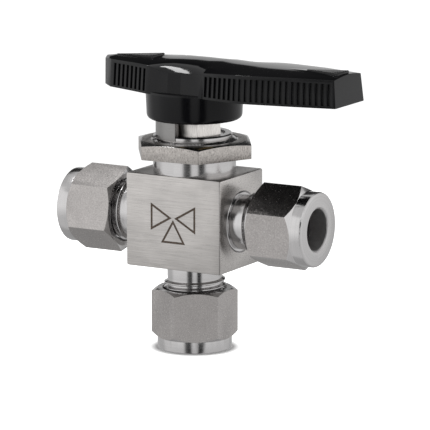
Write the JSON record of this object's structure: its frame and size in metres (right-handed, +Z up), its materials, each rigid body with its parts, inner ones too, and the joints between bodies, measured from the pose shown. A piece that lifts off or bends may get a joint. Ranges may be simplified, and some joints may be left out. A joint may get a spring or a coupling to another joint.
{
  "type": "three way valve",
  "caption": "Small steel ball valve that switches flow between side and lower ports, with compression ends for tube and a black lever handle.",
  "frame": {"origin": "centre of the lower port's mouth, on the plane that the valve stands on", "axes": "+Z up the stem through the handle, +X to the right-hand port, -Y towards the front face"},
  "size_m": [0.0732, 0.0262, 0.0685],
  "materials": {
    "steel_block": "fine straight brushing",
    "steel_nut": "satin milled hex, bright turned collar",
    "steel_panel_nut": "satin, slightly pitted",
    "steel_bolt": "bright, coarsely milled",
    "steel_turned": "fine turned",
    "steel_polished": "polished",
    "steel_spring": "dark rolled",
    "packing_white": "waxy off-white",
    "insert_brass": "fine turned",
    "handle_black": "moulded, glossy on top, satin on the sides"
  },
  "bodies": {
    "valve": {"body": "steel_block", "left_end_connector": "steel_turned", "right_end_connector": "steel_turned", "bottom_end_connector": "steel_turned", "packing_bolt": "steel_bolt", "lower_packing": "packing_white", "upper_packing": "packing_white", "left_side_disc": "steel_turned", "right_side_disc": "steel_turned", "bottom_disc": "steel_turned", "gland": "steel_turned", "lower_spring_washer": "steel_spring", "upper_spring_washer": "steel_spring", "grounding_spring": "steel_spring"},
    "left_ferrules": {"left_front_ferrule": "steel_turned", "left_back_ferrule": "steel_turned"},
    "left_nut": {"left_tube_nut": "steel_nut"},
    "right_ferrules": {"right_front_ferrule": "steel_turned", "right_back_ferrule": "steel_turned"},
    "right_nut": {"right_tube_nut": "steel_nut"},
    "bottom_ferrules": {"bottom_front_ferrule": "steel_turned", "bottom_back_ferrule": "steel_turned"},
    "bottom_nut": {"bottom_tube_nut": "steel_nut"},
    "panel_nut": {"panel_nut": "steel_panel_nut"},
    "handle": {"handle": "handle_black", "handle_insert": "insert_brass", "set_screw": "steel_spring", "ball_stem": "steel_polished"}
  },
  "joints": [
    {"name": "handle_turn", "type": "hinge", "parent": "valve", "child": "handle", "pos_m": [0, 0, 0.031], "axis": [0, 0, 1], "range_deg": [0, 180]},
    {"name": "left_nut_travel", "type": "slide", "parent": "valve", "child": "left_ferrules", "axis": [-1, 0, 0], "range_m": [0, 0.00603]},
    {"name": "left_nut_turn", "type": "hinge", "parent": "left_ferrules", "child": "left_nut", "pos_m": [-0.0326, 0, 0.031], "axis": [-1, 0, 0], "range_deg": [0, 1710]},
    {"name": "right_nut_travel", "type": "slide", "parent": "valve", "child": "right_ferrules", "axis": [1, 0, 0], "range_m": [0, 0.00603]},
    {"name": "right_nut_turn", "type": "hinge", "parent": "right_ferrules", "child": "right_nut", "pos_m": [0.0326, 0, 0.031], "axis": [1, 0, 0], "range_deg": [0, 1710]},
    {"name": "bottom_nut_travel", "type": "slide", "parent": "valve", "child": "bottom_ferrules", "axis": [0, 0, -1], "range_m": [0, 0.00603]},
    {"name": "bottom_nut_turn", "type": "hinge", "parent": "bottom_ferrules", "child": "bottom_nut", "pos_m": [0, 0, 0], "axis": [0, 0, -1], "range_deg": [0, 1710]},
    {"name": "panel_nut_turn", "type": "hinge", "parent": "valve", "child": "panel_nut", "pos_m": [0, 0, 0.0476], "axis": [0, 0, 1], "range_deg": [-360, 360]}
  ],
  "couplings": [
    {"joint": "left_nut_travel", "follows": "left_nut_turn", "m_per_rad": 0.00020213},
    {"joint": "right_nut_travel", "follows": "right_nut_turn", "m_per_rad": 0.00020213},
    {"joint": "bottom_nut_travel", "follows": "bottom_nut_turn", "m_per_rad": 0.00020213}
  ]
}
